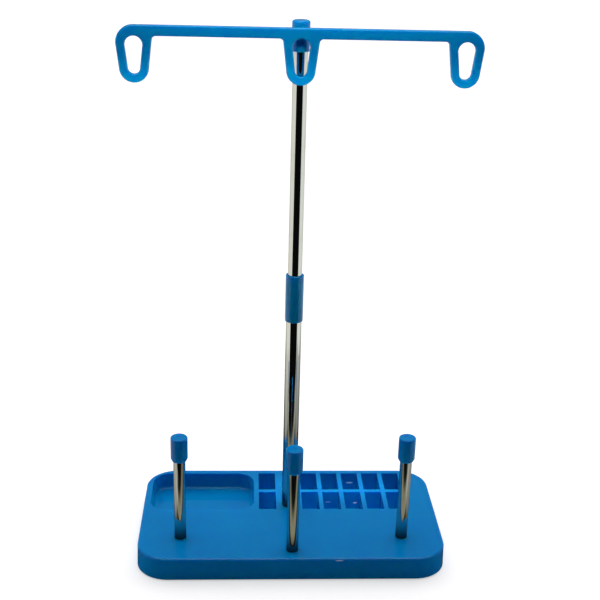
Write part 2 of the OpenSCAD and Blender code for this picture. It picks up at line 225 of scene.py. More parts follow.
class EffectShelf:
    """Makes each shared effect once, the first time that a finish asks for it."""

    @staticmethod
    def take(effect: Effect) -> bpy.types.NodeTree:
        """Hands out an effect's node group, and makes it if it isn't there yet.

        Args:
            effect: Which effect.

        Returns:
            The group.
        """
        makers = {
            Effect.RIPPLE: EffectShelf.make_ripple,
            Effect.SCUFF: EffectShelf.make_scuffs,
            Effect.DUST: EffectShelf.make_dust,
            Effect.DRAWN: EffectShelf.make_drawn_lines,
            Effect.RUB: EffectShelf.make_rubbed_edges,
        }
        return bpy.data.node_groups.get(effect.value) or makers[effect]()

    @staticmethod
    def start(effect: Effect, inputs: tuple[str, ...],
              outputs: tuple[str, ...]) -> tuple[Graph, list[Socket], bpy.types.NodeInputs]:
        """Starts a node group with its sockets.

        Args:
            effect: The effect that it is for.
            inputs: Names of the inputs after Vector, all plain numbers.
            outputs: Names of the outputs, all plain numbers.

        Returns:
            The group's graph, its input sockets with Vector first, and the sockets that it leaves by.
        """
        tree = bpy.data.node_groups.new(effect.value, "ShaderNodeTree")
        tree.interface.new_socket("Vector", in_out="INPUT", socket_type="NodeSocketVector")
        for key in inputs:
            tree.interface.new_socket(key, in_out="INPUT", socket_type="NodeSocketFloat")
        for key in outputs:
            tree.interface.new_socket(key, in_out="OUTPUT", socket_type="NodeSocketFloat")
        graph = Graph(tree)
        entry = graph.add("NodeGroupInput").outputs
        leave = graph.add("NodeGroupOutput").inputs
        return graph, [entry[key] for key in ("Vector", *inputs)], leave

    @staticmethod
    def make_ripple() -> bpy.types.NodeTree:
        """Skin of a moulding: a fine ripple and broad, faint clouds where the melt cooled unevenly.

        Returns:
            The group, with outputs Height and Cloud.
        """
        cloud_share, cloud_span = 0.04, (0.3, 0.7)
        graph, (place, scale), leave = EffectShelf.start(Effect.RIPPLE, ("Scale",), ("Height", "Cloud"))
        broad = graph.noise(place, graph.math("MULTIPLY", scale, cloud_share), 3.0, 0.6)
        graph.feed(leave["Height"], graph.noise(place, scale, 3.0, 0.55))
        graph.feed(leave["Cloud"], graph.ramp(broad, *cloud_span))
        return graph.tree

    @staticmethod
    def make_scuffs() -> bpy.types.NodeTree:
        """Hair-fine scuffs: level lines of noise stretched two ways, kept only in scattered patches.

        Returns:
            The group, with output Mask.
        """
        level_kept, line_width, patch_share = 0.52, 0.012, 0.1
        start_bare, start_fall = 0.72, 0.3
        graph, (place, scale, cover), leave = EffectShelf.start(Effect.SCUFF, ("Scale", "Cover"), ("Mask",))
        masks = []
        for turn, seat in (((0.2, 0.1, 0.5), 3.0), ((-0.3, 0.2, 2.1), 11.0)):
            along = graph.stretch(place, (1.0, 0.05, 1.0), turn)
            level = graph.noise(along, scale, 1.0, 0.4)
            apart = graph.math("ABSOLUTE", graph.math("SUBTRACT", level, level_kept))
            line = graph.ramp(apart, 0.0, line_width, 1.0, 0.0)
            shifted = graph.add("ShaderNodeVectorMath", {0: place, 1: (seat, seat, seat)}).outputs[0]
            patch = graph.noise(shifted, graph.math("MULTIPLY", scale, patch_share), 2.0, 0.6)
            start = graph.math("SUBTRACT", start_bare, graph.math("MULTIPLY", cover, start_fall))
            masks.append(graph.math("MULTIPLY", line, graph.math("GREATER_THAN", patch, start)))
        graph.feed(leave["Mask"], graph.math("MAXIMUM", *masks))
        return graph.tree

    @staticmethod
    def make_dust() -> bpy.types.NodeTree:
        """Specks of dust that settle on what faces upwards: small round cells under a noise mask.

        Returns:
            The group, with output Mask.
        """
        speck_span, upward_span = (0.05, 0.16), (0.6, 0.95)
        scatter_share, scatter_span = 0.3, (0.56, 0.66)
        graph, (place, scale), leave = EffectShelf.start(Effect.DUST, ("Scale",), ("Mask",))
        cells = graph.add("ShaderNodeTexVoronoi", {"Vector": place, "Scale": scale})
        speck = graph.ramp(cells.outputs["Distance"], *speck_span, 1.0, 0.0)
        scatter = graph.noise(place, graph.math("MULTIPLY", scale, scatter_share), 2.0, 0.6)
        kept = graph.math("MULTIPLY", speck, graph.ramp(scatter, *scatter_span))
        upward = graph.parts(graph.add("ShaderNodeNewGeometry").outputs["Normal"])["Z"]
        graph.feed(leave["Mask"], graph.math("MULTIPLY", kept, graph.ramp(upward, *upward_span)))
        return graph.tree

    @staticmethod
    def make_drawn_lines() -> bpy.types.NodeTree:
        """Lines left along an upright tube by drawing it: noise stretched a hundredfold along Z.

        Returns:
            The group, with outputs Line and Smudge.
        """
        smudge_share, smudge_span = 0.03, (0.5, 0.75)
        graph, (place, scale), leave = EffectShelf.start(Effect.DRAWN, ("Scale",), ("Line", "Smudge"))
        along = graph.stretch(place, (1.0, 1.0, 0.01))
        smudge = graph.noise(place, graph.math("MULTIPLY", scale, smudge_share), 3.0, 0.6)
        graph.feed(leave["Line"], graph.noise(along, scale, 3.0, 0.6))
        graph.feed(leave["Smudge"], graph.ramp(smudge, *smudge_span))
        return graph.tree

    @staticmethod
    def make_rubbed_edges() -> bpy.types.NodeTree:
        """Edges that handling has rubbed: where a rounded normal leaves the surface's own, broken by noise.

        Returns:
            The group, with output Mask.
        """
        edge_span = (0.9, 0.995)
        worn_scale, worn_span = 160.0, (0.42, 0.62)
        graph, (place, radius), leave = EffectShelf.start(Effect.RUB, ("Radius",), ("Mask",))
        rounded = graph.add("ShaderNodeBevel", {"Radius": radius}, samples=4).outputs[0]
        normal = graph.add("ShaderNodeNewGeometry").outputs["Normal"]
        agree = graph.add("ShaderNodeVectorMath", {0: rounded, 1: normal}, operation="DOT_PRODUCT")
        edge = graph.ramp(agree.outputs["Value"], *edge_span, 1.0, 0.0)
        worn = graph.ramp(graph.noise(place, worn_scale, 4.0, 0.65), *worn_span)
        graph.feed(leave["Mask"], graph.math("MULTIPLY", edge, worn))
        return graph.tree


def blank_material(name: str) -> tuple[bpy.types.Material, Graph]:
    """Makes a material without nodes.

    Args:
        name: Name of the material.

    Returns:
        The material and its graph.
    """
    material = bpy.data.materials.new(name)
    material.use_nodes = True
    material.node_tree.nodes.clear()
    return material, Graph(material.node_tree)


@dataclass(frozen=True)
class Finish:
    """Base of the finishes: starts a material and hands out its parts.

    Attributes:
        name: Name of the material.
        colour: Its colour where it is clean.
        polish: Its roughness where it is clean.
        roughs: Roughness that each kind of mark adds.
        depths: Depth of each kind of bump.
    """

    name: str
    colour: Colour
    polish: float
    roughs: tuple[float, ...]
    depths: tuple[float, ...]

    def start(self) -> tuple[bpy.types.Material, Graph, bpy.types.Node, Socket]:
        """Starts the material with its shader.

        Returns:
            The material, its graph, its Principled shader and its object coordinates.
        """
        material, graph = blank_material(self.name)
        shader = graph.add("ShaderNodeBsdfPrincipled")
        graph.show("ShaderNodeOutputMaterial", shader)
        return material, graph, shader, graph.add("ShaderNodeTexCoord").outputs["Object"]

    def make(self) -> bpy.types.Material:
        """Returns the finish's material, made the first time that it is asked for."""
        return bpy.data.materials.get(self.name) or self.build()

    def build(self) -> bpy.types.Material:
        """Builds the material; each finish has its own."""
        raise NotImplementedError

    def roughen(self, graph: Graph, *masks: Socket) -> Socket:
        """Adds the roughness of each kind of mark to the polish.

        Args:
            graph: The material's graph.
            *masks: Masks of the marks, in the order of roughs.

        Returns:
            The roughness.
        """
        rough = self.polish
        for mask, amount in zip(masks, self.roughs, strict=True):
            rough = graph.math("MULTIPLY_ADD", mask, amount, rough)
        return rough

    def raise_bumps(self, graph: Graph, *heights: Socket) -> Socket:
        """Stacks bumps.

        Args:
            graph: The material's graph.
            *heights: Heights of the bumps, in the order of depths.

        Returns:
            The bumped normal.
        """
        normal = None
        for height, depth in zip(heights, self.depths, strict=True):
            bump = graph.add("ShaderNodeBump", {"Height": height, "Distance": depth, "Strength": 1.0})
            if normal:
                graph.feed(bump.inputs["Normal"], normal)
            normal = bump.outputs[0]
        return normal


@dataclass(frozen=True)
class PaintedGlint:
    """Painted highlight: a small pale glint painted on a moulding.

    Attributes:
        middle: Its middle.
        half: Half the size, along each axis, of the ellipsoid that holds it.
        grain: Waves in a metre of the noise that breaks its rim.
        ragged: How far that noise breaks it.
        rim: Shares of the way to the ellipsoid between which it fades out.
    """

    middle: Place
    half: Place
    grain: float = 900.0
    ragged: float = 0.8
    rim: Span = (0.85, 1.25)

    def mask(self, graph: Graph, place: Socket) -> Socket:
        """Masks the painted glint: one at its middle, none outside its ellipsoid.

        The distance from its middle, as a share of half its size along each axis, gets noise added and
        then fades from one to none over the rim.

        Args:
            graph: The material's graph.
            place: Object coordinates.

        Returns:
            The mask.
        """
        apart = graph.add("ShaderNodeVectorMath", {0: place, 1: self.middle}, operation="SUBTRACT")
        shares = graph.add("ShaderNodeVectorMath", {0: apart.outputs[0], 1: self.half}, operation="DIVIDE")
        reach = graph.add("ShaderNodeVectorMath", {0: shares.outputs[0]}, operation="LENGTH")
        grit = graph.noise(place, self.grain, 2.0, 0.6)
        broken = graph.math("MULTIPLY_ADD", grit, self.ragged, reach.outputs["Value"])
        return graph.ramp(broken, *self.rim, 1.0, 0.0)


@dataclass(frozen=True)
class GlossPlastic(Finish):
    """Glossy moulded plastic, coloured right through.

    Attributes:
        roughs: Roughness that clouds, scuffs, rubbed edges and dust add.
        depths: Depths of the skin's ripple and of the scuffs.
        cloud_colour: Colour where the melt cooled unevenly.
        rub_colour: Paler colour of rubbed edges and scuffs.
        dust_colour: Colour of dust.
        glint_colour: Pale colour of the painted glints.
        shares: How much of their colour rubbed edges, scuffs and dust show.
        rub_radius: Distance from an edge up to which it is rubbed.
        gloss: Strength of the reflections.
        glow_depth: How far blue light travels in the plastic.
        glow_reach: Share of that depth for each colour.
        glints: The painted glints, if the piece has any.
    """

    name: str = "blue_gloss_plastic"
    colour: Colour = (0.001, 0.268, 0.665)
    polish: float = 0.08
    roughs: tuple[float, ...] = (0.05, 0.15, 0.12, 0.35)
    depths: tuple[float, ...] = (0.006 * MM, 0.004 * MM)
    cloud_colour: Colour = (0.001, 0.248, 0.635)
    rub_colour: Colour = (0.050, 0.370, 0.760)
    dust_colour: Colour = (0.450, 0.500, 0.540)
    glint_colour: Colour = (0.600, 0.850, 1.000)
    shares: tuple[float, ...] = (0.35, 0.12, 0.35)
    rub_radius: float = 0.5 * MM
    gloss: float = 0.25
    glow_depth: float = 5.0 * MM
    glow_reach: Colour = (0.08, 0.50, 1.0)
    glints: tuple[PaintedGlint, ...] = ()

    def build(self) -> bpy.types.Material:
        """Mixes clouds, rubbed edges, scuffs and dust into the plastic, and paints glints on it.

        Returns:
            The new material.
        """
        material, graph, shader, place = self.start()
        skin = graph.effect(Effect.RIPPLE, place, Scale=650.0)
        scuff = graph.effect(Effect.SCUFF, place, Scale=260.0, Cover=0.1)["Mask"]
        dust = graph.effect(Effect.DUST, place, Scale=900.0)["Mask"]
        rub = graph.effect(Effect.RUB, place, Radius=self.rub_radius)["Mask"]
        rubbed, scuffed, dusty = (graph.math("MULTIPLY", mask, share)
                                  for mask, share in zip((rub, scuff, dust), self.shares, strict=True))
        tone = graph.mix(skin["Cloud"], self.colour, self.cloud_colour)
        tone = graph.mix(graph.math("MAXIMUM", rubbed, scuffed), tone, self.rub_colour)
        tone = graph.mix(dusty, tone, self.dust_colour)
        glow = 1.0
        # Painted highlights: pale glints, with the subsurface glow turned off under them so that they stay
        # sharp.
        if self.glints:
            glinted = 0.0
            for glint in self.glints:
                glinted = graph.math("MAXIMUM", glinted, glint.mask(graph, place))
            tone = graph.mix(glinted, tone, self.glint_colour)
            glow = graph.math("SUBTRACT", 1.0, glinted)
        graph.feed(shader.inputs["Base Color"], tone)
        graph.feed(shader.inputs["Subsurface Weight"], glow)
        shader.inputs["Subsurface Radius"].default_value = self.glow_reach
        shader.inputs["Subsurface Scale"].default_value = self.glow_depth
        shader.inputs["Specular IOR Level"].default_value = self.gloss
        graph.feed(shader.inputs["Roughness"], self.roughen(graph, skin["Cloud"], scuff, rub, dust))
        smooth = graph.math("SUBTRACT", 1.0, scuff)
        graph.feed(shader.inputs["Normal"], self.raise_bumps(graph, skin["Height"], smooth))
        return material


@dataclass(frozen=True)
class ChromePlate(Finish):
    """Bright plating on drawn tube.

    Attributes:
        roughs: Roughness that drawn lines, smudges and scuffs add.
        depths: Depths of the drawn lines and of the scuffs.
        smudge_colour: Colour where fingers have dulled it.
        edge_colour: Tint of what it mirrors at a grazing angle.
        foot_shade_colour: Colour of the painted shade on the tubes' feet, where the base shades them.
        foot_shade_from: Height up to which the painted shade is full.
        foot_shade_to: Height at which it ends.
    """

    name: str = "chrome_on_tube"
    colour: Colour = (0.620, 0.625, 0.615)
    polish: float = 0.045
    roughs: tuple[float, ...] = (0.03, 0.05, 0.12)
    depths: tuple[float, ...] = (0.0012 * MM, 0.002 * MM)
    smudge_colour: Colour = (0.560, 0.560, 0.545)
    edge_colour: Colour = (0.650, 0.635, 0.600)
    foot_shade_colour: Colour = (0.080, 0.079, 0.078)
    foot_shade_from: float = 18.0 * MM
    foot_shade_to: float = 36.0 * MM

    def build(self) -> bpy.types.Material:
        """Gives the plating its drawn lines, smudges and scuffs, and paints shade on its feet.

        Returns:
            The new material.
        """
        material, graph, shader, place = self.start()
        drawn = graph.effect(Effect.DRAWN, place, Scale=1500.0)
        scuff = graph.effect(Effect.SCUFF, place, Scale=500.0, Cover=0.2)["Mask"]
        plate = graph.mix(drawn["Smudge"], self.colour, self.smudge_colour)
        # Painted shade: the plate turns dark towards the tubes' feet, where the base shades them.
        foot_shade = graph.ramp(graph.parts(place)["Z"], self.foot_shade_from, self.foot_shade_to, 1.0, 0.0)
        graph.feed(shader.inputs["Base Color"], graph.mix(foot_shade, plate, self.foot_shade_colour))
        shader.inputs["Metallic"].default_value = 1.0
        graph.feed(shader.inputs["Specular Tint"], self.edge_colour)
        graph.feed(shader.inputs["Roughness"], self.roughen(graph, drawn["Line"], drawn["Smudge"], scuff))
        smooth = graph.math("SUBTRACT", 1.0, scuff)
        graph.feed(shader.inputs["Normal"], self.raise_bumps(graph, drawn["Line"], smooth))
        return material


@dataclass(frozen=True)
class SlipPlastic(Finish):
    """Waxy off-white plastic of the slide plug, rubbed along its stroke.

    Attributes:
        roughs: Roughness that clouds add.
        depths: Depths of the skin's ripple and of the marks.
        mark_colour: Grey of the marks that the tube leaves.
        mark_share: How much of that grey a mark shows.
        mark_span: Levels of the drawn lines between which a mark comes in.
    """

    name: str = "slip_plastic"
    colour: Colour = (0.640, 0.630, 0.570)
    polish: float = 0.42
    roughs: tuple[float, ...] = (0.12,)
    depths: tuple[float, ...] = (0.01 * MM, 0.008 * MM)
    mark_colour: Colour = (0.260, 0.260, 0.250)
    mark_share: float = 0.5
    mark_span: Span = (0.58, 0.72)

    def build(self) -> bpy.types.Material:
        """Gives the plug the tube's grey marks.

        Returns:
            The new material.
        """
        material, graph, shader, place = self.start()
        skin = graph.effect(Effect.RIPPLE, place, Scale=900.0)
        line = graph.effect(Effect.DRAWN, place, Scale=1200.0)["Line"]
        mark = graph.math("MULTIPLY", graph.ramp(line, *self.mark_span), self.mark_share)
        graph.feed(shader.inputs["Base Color"], graph.mix(mark, self.colour, self.mark_colour))
        graph.feed(shader.inputs["Roughness"], self.roughen(graph, skin["Cloud"]))
        graph.feed(shader.inputs["Normal"], self.raise_bumps(graph, skin["Height"], line))
        return material


@dataclass(frozen=True)
class PadRubber(Finish):
    """Soft dark rubber of the foot pads, finely pitted.

    Attributes:
        roughs: Roughness that dust adds.
        depths: Depth of the pits.
        dust_colour: Colour of what sticks to it.
        dust_share: How much of that colour a dusty place shows.
        dust_span: Levels of the noise between which dust comes in.
    """

    name: str = "pad_soft_rubber"
    colour: Colour = (0.032, 0.032, 0.035)
    polish: float = 0.70
    roughs: tuple[float, ...] = (0.2,)
    depths: tuple[float, ...] = (0.03 * MM,)
    dust_colour: Colour = (0.200, 0.190, 0.180)
    dust_share: float = 0.6
    dust_span: Span = (0.55, 0.75)

    def build(self) -> bpy.types.Material:
        """Pits the rubber and leaves dust on it.

        Returns:
            The new material.
        """
        material, graph, shader, place = self.start()
        skin = graph.effect(Effect.RIPPLE, place, Scale=1800.0)
        dust = graph.ramp(graph.noise(place, 700.0, 5.0, 0.7), *self.dust_span)
        shown = graph.math("MULTIPLY", dust, self.dust_share)
        graph.feed(shader.inputs["Base Color"], graph.mix(shown, self.colour, self.dust_colour))
        graph.feed(shader.inputs["Roughness"], self.roughen(graph, dust))
        graph.feed(shader.inputs["Normal"], self.raise_bumps(graph, skin["Height"]))
        return material


@dataclass(frozen=True)
class TurnedSurface:
    """Skin of a turned piece: a rounded outline carried round an upright axis.

    Attributes:
        corners: Rows of radius, height and rounding, outer wall upwards; a first and a last row with no
            radius lie on the axis and close the surface there.
        axis: Where the axis stands, as X and Y.
        closed: Whether the outline is a ring, as that of a tube.
        segments: Faces round the axis.
        steps: Faces along each rounding.
        hold: Distance from a rounding at which a straight wall gets a row that keeps its shading flat.
    """

    corners: tuple[tuple[float, float, float], ...]
    axis: tuple[float, float]
    closed: bool
    segments: int = 96
    steps: int = 6
    hold: float = 0.4 * MM

    def outline(self) -> np.ndarray:
        """Rounds the corners.

        At each corner the arc touches both sides. Its centre lies on the line that halves the corner, at
        the rounding over the sine of half the corner's angle, and each of its points is the spherical
        mean of the two touching radii.

        Returns:
            Rows of radius and height.
        """
        rows = np.array(self.corners)
        place, rounding = rows[:, :2], rows[:, 2]
        before, after = np.roll(place, 1, axis=0) - place, np.roll(place, -1, axis=0) - place
        reach_before, reach_after = np.linalg.norm(before, axis=1), np.linalg.norm(after, axis=1)
        before, after = before / reach_before[:, None], after / reach_after[:, None]
        half = np.arccos(np.clip(np.sum(before * after, axis=1), -1.0, 1.0)) / 2
        cut = rounding / np.tan(half)
        if not self.closed:
            cut[[0, -1]] = 0.0
        between = before + after
        between /= np.linalg.norm(between, axis=1)[:, None]
        centre = place + between * (rounding / np.sin(half))[:, None]
        first, last = place + before * cut[:, None], place + after * cut[:, None]
        turn = np.pi - 2 * half
        share = np.linspace(0.0, 1.0, self.steps + 1)
        weight_first = np.sin((1 - share) * turn[:, None]) / np.sin(turn)[:, None]
        weight_last = np.sin(share * turn[:, None]) / np.sin(turn)[:, None]
        arc = (centre[:, None] + weight_first[..., None] * (first - centre)[:, None]
               + weight_last[..., None] * (last - centre)[:, None])
        spare_before = reach_before - cut - np.roll(cut, 1)
        spare_after = reach_after - cut - np.roll(cut, -1)
        lead_in = first + before * np.minimum(self.hold, spare_before / 4)[:, None]
        lead_out = last + after * np.minimum(self.hold, spare_after / 4)[:, None]
        bends = np.concatenate([lead_in[:, None], arc, lead_out[:, None]], axis=1)
        if self.closed:
            return bends.reshape(-1, 2)
        return np.concatenate([place[:1], bends[1:-1].reshape(-1, 2), place[-1:]])

    def mesh(self, name: str) -> bpy.types.Mesh:
        """Carries the outline round the axis.

        The point at outline row i and turn j is the axis plus the row's radius in the direction of the
        turn's angle, at the row's height. Quads join neighbouring rows and turns, and where the outline
        starts and ends on the axis one point there closes the ring beside it with triangles.

        Args:
            name: Name of the mesh.

        Returns:
            The new mesh, smooth and facing outwards.
        """
        rows = self.outline()
        rings = rows if self.closed else rows[1:-1]
        angle = np.linspace(0.0, 2 * np.pi, self.segments, endpoint=False)
        points = np.stack([
            self.axis[0] + rings[:, :1] * np.cos(angle),
            self.axis[1] + rings[:, :1] * np.sin(angle),
            np.broadcast_to(rings[:, 1:], (len(rings), self.segments)),
        ], axis=-1).reshape(-1, 3)
        index = np.arange(len(points)).reshape(len(rings), self.segments)
        low = index if self.closed else index[:-1]
        high = np.roll(index, -1, axis=0) if self.closed else index[1:]
        quads = np.stack([low, np.roll(low, -1, axis=1), np.roll(high, -1, axis=1), high], axis=-1)
        faces = quads.reshape(-1, 4).tolist()
        if not self.closed:
            poles = np.column_stack([np.tile(self.axis, (2, 1)), rows[[0, -1], 1]])
            points = np.concatenate([points, poles])
            first, last = len(points) - 2, len(points) - 1
            start, end = index[0], index[-1]
            fan_start = np.stack([np.full_like(start, first), np.roll(start, -1), start], axis=-1)
            fan_end = np.stack([np.full_like(end, last), end, np.roll(end, -1)], axis=-1)
            faces += fan_start.tolist() + fan_end.tolist()
        made = bpy.data.meshes.new(name)
        made.from_pydata(points.tolist(), [], faces)
        made.polygons.foreach_set("use_smooth", np.ones(len(made.polygons), dtype=bool))
        made.update()
        return made


class NodeBox:
    """Axis, radius and heights of an upright turned node, read from the frame.

    Attributes:
        node: Name of the node.
        axis: Where its axis stands, as X and Y.
        radius: Outer radius.
        bottom: Height of the lower end.
        top: Height of the upper end.
    """

    def __init__(self, node: str) -> None:
        """Reads the node's box.

        Args:
            node: Name of the node.
        """
        low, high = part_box(node)
        self.node = node
        self.axis = (low.x + high.x) / 2, (low.y + high.y) / 2
        self.radius = (high.x - low.x) / 2
        self.bottom, self.top = low.z, high.z


class Assembly:
    """Base of the sub-assemblies: places new pieces and dresses nodes that stay."""

    def place(self, name: str, surface: TurnedSurface, node: str, body: str, slot: str,
              finish: Finish) -> None:
        """Makes a piece that stands for a node.

        Args:
            name: Name of the piece.
            surface: Its surface.
            node: The node that it stands for.
            body: The body that it rides on.
            slot: The record's material slot; not used.
            finish: Its finish.
        """
        piece = bpy.data.objects.new(name, surface.mesh(name))
        bpy.context.scene.collection.objects.link(piece)
        piece.data.materials.append(finish.make())
        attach(piece, body)
        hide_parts(node)
        log.info("%s: %d faces, stands for %s", name, len(piece.data.polygons), node)

    def dress(self, node: str, finish: Finish) -> None:
        """Gives a node that stays its finish.

        Args:
            node: Name of the node.
            finish: Its finish.
        """
        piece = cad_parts[node]
        for slot in piece.material_slots:
            slot.material = finish.make()
        log.info("%s: %d faces, %s", node, len(piece.data.polygons), finish.name)


@dataclass
class MouldedBase(Assembly):
    """Base with its tray, bobbin pockets and pads.

    Attributes:
        glints: Painted highlights, pale glints on its front edge and in three of its pockets.
    """

    glints: tuple[PaintedGlint, ...] = (
        PaintedGlint((0.0525, 0.0591, 0.0090), (0.0044, 0.0010, 0.0012)),
        PaintedGlint((0.0545, 0.0292, 0.0078), (0.0026, 0.0010, 0.0012)),
        PaintedGlint((0.0325, 0.0292, 0.0085), (0.0034, 0.0010, 0.0004)),
        PaintedGlint((0.0345, -0.0646, 0.0164), (0.0042, 0.0010, 0.0006)),
    )

    def build(self) -> None:
        """Dresses the base and its four pads."""
        # Painted highlights: the base's plastic carries pale glints on its front edge and pocket walls.
        self.dress("base", GlossPlastic(name="blue_gloss_plastic_glints", glints=self.glints))
        for end in ("front", "back"):
            for side in (Side.LEFT, Side.RIGHT):
                self.dress(f"foot_{end}_{side.value}", PadRubber())


@dataclass
class SpoolPin(Assembly):
    """Chromed pin and the cap on it.

    Attributes:
        side: Which pin.
        wall: Wall of the pin's tube.
        bore_gap: Clearance between pin and cap.
        roof: Thickness of the cap's closed top.
        mouth_wall: Wall of the cap at its mouth.
        taper: Height of the taper above the mouth.
        edge: Rounding of the cap's top edge.
        gate_radius: Radius of the dimple where the mould was filled.
        gate_depth: Depth of that dimple.
    """

    side: Side
    wall: float = 0.6 * MM
    bore_gap: float = 0.05 * MM
    roof: float = 2.5 * MM
    mouth_wall: float = 0.75 * MM
    taper: float = 2.0 * MM
    edge: float = 0.9 * MM
    gate_radius: float = 1.7 * MM
    gate_depth: float = 0.25 * MM

    def build(self) -> None:
        """Makes the pin's tube and its cap."""
        pin = NodeBox(f"spool_pin_{self.side.value}")
        cap = NodeBox(f"pin_cap_{self.side.value}")
        self.place(f"{pin.node}_tube", tube_surface(pin, self.wall), pin.node, "stand", "chrome_tube",
                   ChromePlate())
        self.place(f"{cap.node}_shell", self.cap_surface(pin, cap), cap.node, f"{self.side.value}_cap",
                   "blue_plastic", GlossPlastic())

    def cap_surface(self, pin: NodeBox, cap: NodeBox) -> TurnedSurface:
        """Works out the cap's surface.

        Args:
            pin: The pin under it.
            cap: The cap's node.

        Returns:
            The surface, from the bore's roof out over the mouth and up to the dimple in the top.
        """
        bore = pin.radius + self.bore_gap
        mouth = bore + self.mouth_wall
        roof = cap.top - self.roof
        small = 0.15 * MM
        return TurnedSurface(
            corners=(
                (0.0, roof, 0.0),
                (bore, roof, 2 * small),
                (bore, cap.bottom, small),
                (mouth, cap.bottom, small),
                (cap.radius, cap.bottom + self.taper, 4 * small),
                (cap.radius, cap.top, self.edge),
                (self.gate_radius, cap.top, small),
                (self.gate_radius - self.gate_depth, cap.top - self.gate_depth, small / 2),
                (0.0, cap.top - self.gate_depth, 0.0),
            ),
            axis=cap.axis,
            closed=False,
        )


@dataclass
class Mast(Assembly):
    """Telescopic mast: two tubes, the sleeve on their joint and the plug inside.

    Attributes:
        lower_wall: Wall of the lower tube.
        upper_wall: Wall of the upper tube.
        seat_gap: Clearance between sleeve and lower tube.
        running_gap: Clearance between the sleeve's lip and the upper tube.
        edge: Rounding of the sleeve's edges.
    """

    lower_wall: float = 0.4 * MM
    upper_wall: float = 0.5 * MM
    seat_gap: float = 0.03 * MM
    running_gap: float = 0.05 * MM
    edge: float = 0.55 * MM

    def build(self) -> None:
        """Makes the tubes and the sleeve, and dresses the plug."""
        lower, upper = NodeBox("mast_lower_tube"), NodeBox("mast_upper_tube")
        sleeve = NodeBox("mast_sleeve")
        self.place("mast_lower_tube_wall", tube_surface(lower, self.lower_wall), lower.node, "stand",
                   "chrome_tube", ChromePlate())
        self.place("mast_upper_tube_wall", tube_surface(upper, self.upper_wall), upper.node, "upper_mast",
                   "chrome_tube", ChromePlate())
        self.place("mast_sleeve_shell", self.sleeve_surface(sleeve, lower, upper), sleeve.node, "stand",
                   "blue_plastic", GlossPlastic())
        self.dress("mast_slide_plug", SlipPlastic())

    def sleeve_surface(self, sleeve: NodeBox, lower: NodeBox, upper: NodeBox) -> TurnedSurface:
        """Works out the sleeve's surface.

        Args:
            sleeve: The sleeve's node.
            lower: The tube that it is pushed onto.
            upper: The tube that runs in its lip.

        Returns:
            The surface, a ring with a step inside where the lower tube ends.
        """
        seat = lower.radius + self.seat_gap
        lip = upper.radius + self.running_gap
        small = 0.12 * MM
        return TurnedSurface(
            corners=(
                (sleeve.radius, sleeve.bottom, self.edge),
                (sleeve.radius, sleeve.top, self.edge),
                (lip, sleeve.top, self.edge),
                (lip, lower.top, small),
                (seat, lower.top, small),
                (seat, sleeve.bottom, small),
            ),
            axis=sleeve.axis,
            closed=True,
        )


class GuideBar(Assembly):
    """Bar with its three eyelets and the socket on the mast's top."""

    def build(self) -> None:
        """Dresses the bar."""
        self.dress("guide_bar", GlossPlastic())


def tube_surface(box: NodeBox, wall: float) -> TurnedSurface:
    """Works out the surface of an open tube with burnished ends.

    Args:
        box: The tube's node.
        wall: Thickness of its wall.

    Returns:
        The surface, a ring whose four corners are rounded by a little under half the wall.
    """
    lip = 0.42 * wall
    inner = box.radius - wall
    return TurnedSurface(
        corners=(
            (box.radius, box.bottom, lip),
            (box.radius, box.top, lip),
            (inner, box.top, lip),
            (inner, box.bottom, lip),
        ),
        axis=box.axis,
        closed=True,
    )


@dataclass(frozen=True)
class Strip:
    """Soft lamp that neither the camera nor a mirror sees.

    Attributes:
        name: Its name.
        place: Its middle.
        tilt: How far it is turned from straight down towards the back, in radians.
        size: Its width and depth.
        spread: Angle of its beam, in radians.
        power: Its power in watts.
        colour: Its colour.
    """

    name: str
    place: Place
    tilt: float
    size: Span
    spread: float
    power: float
    colour: Colour

    def hang(self) -> None:
        """Hangs the lamp."""
        data = bpy.data.lights.new(self.name, "AREA")
        data.shape = "RECTANGLE"
        data.size, data.size_y = self.size
        data.spread = self.spread
        data.energy = self.power
        data.color = self.colour
        lamp = bpy.data.objects.new(self.name, data)
        bpy.context.scene.collection.objects.link(lamp)
        lamp.location = self.place
        lamp.rotation_euler = (self.tilt, 0.0, 0.0)
        lamp.visible_camera = False
        lamp.visible_glossy = False


